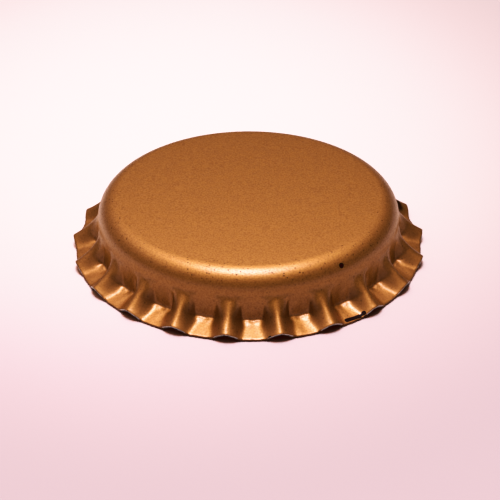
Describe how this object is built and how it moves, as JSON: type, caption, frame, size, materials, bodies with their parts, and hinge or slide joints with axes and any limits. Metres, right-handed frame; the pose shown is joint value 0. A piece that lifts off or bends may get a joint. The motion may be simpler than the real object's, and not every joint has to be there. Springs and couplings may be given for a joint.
{
  "type": "crown bottle cap",
  "caption": "Crown cap for a bottle: a drawn sheet-steel shell with a domed panel and a flared, fluted skirt, and a sealing liner moulded inside it.",
  "frame": {"origin": "on the cap's axis, in the plane that the rim stands on", "axes": "+Z along the cap's axis, towards the panel; a valley between two flutes faces -Y, and a flute faces +Y"},
  "size_m": [0.032, 0.0319, 0.0059],
  "materials": {
    "gold_lacquer": "satin orange-gold lacquer over steel sheet",
    "liner": "smooth moulded sealing compound"
  },
  "bodies": {
    "root": {"crown_shell": "gold_lacquer", "sealing_liner": "liner"}
  },
  "joints": []
}
